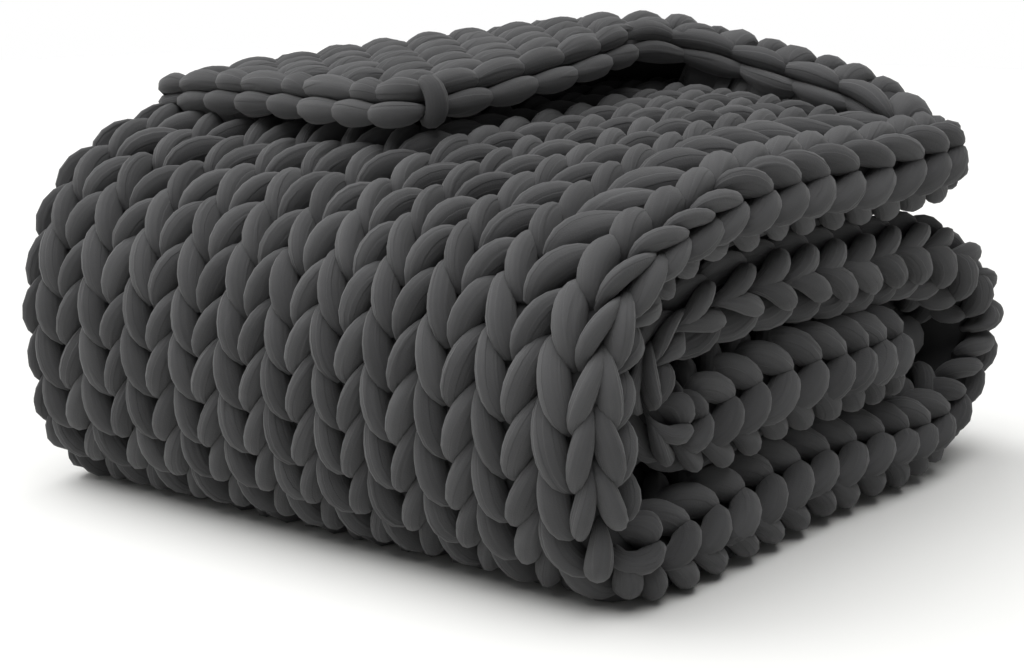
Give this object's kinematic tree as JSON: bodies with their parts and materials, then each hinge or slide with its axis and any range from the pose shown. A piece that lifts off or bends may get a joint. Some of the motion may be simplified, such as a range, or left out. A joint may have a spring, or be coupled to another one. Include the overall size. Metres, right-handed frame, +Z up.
{
  "type": "folded chunky knit weighted blanket",
  "caption": "Chunky hand-knitted weighted blanket, folded into a thick soft bundle with rounded folds, with one corner of its top layer turned back.",
  "frame": {"origin": "bottom centre of the bounding box, on the surface that the bundle rests on", "axes": "+Z up, -Y towards the front fold, +X towards the right-hand round ends of the layers"},
  "size_m": [0.5762, 0.6078, 0.365],
  "materials": {
    "yarn": "matt charcoal stretch-cotton jersey tube yarn, softly creased"
  },
  "bodies": {
    "root": {"folded_blanket": "yarn"}
  },
  "joints": []
}
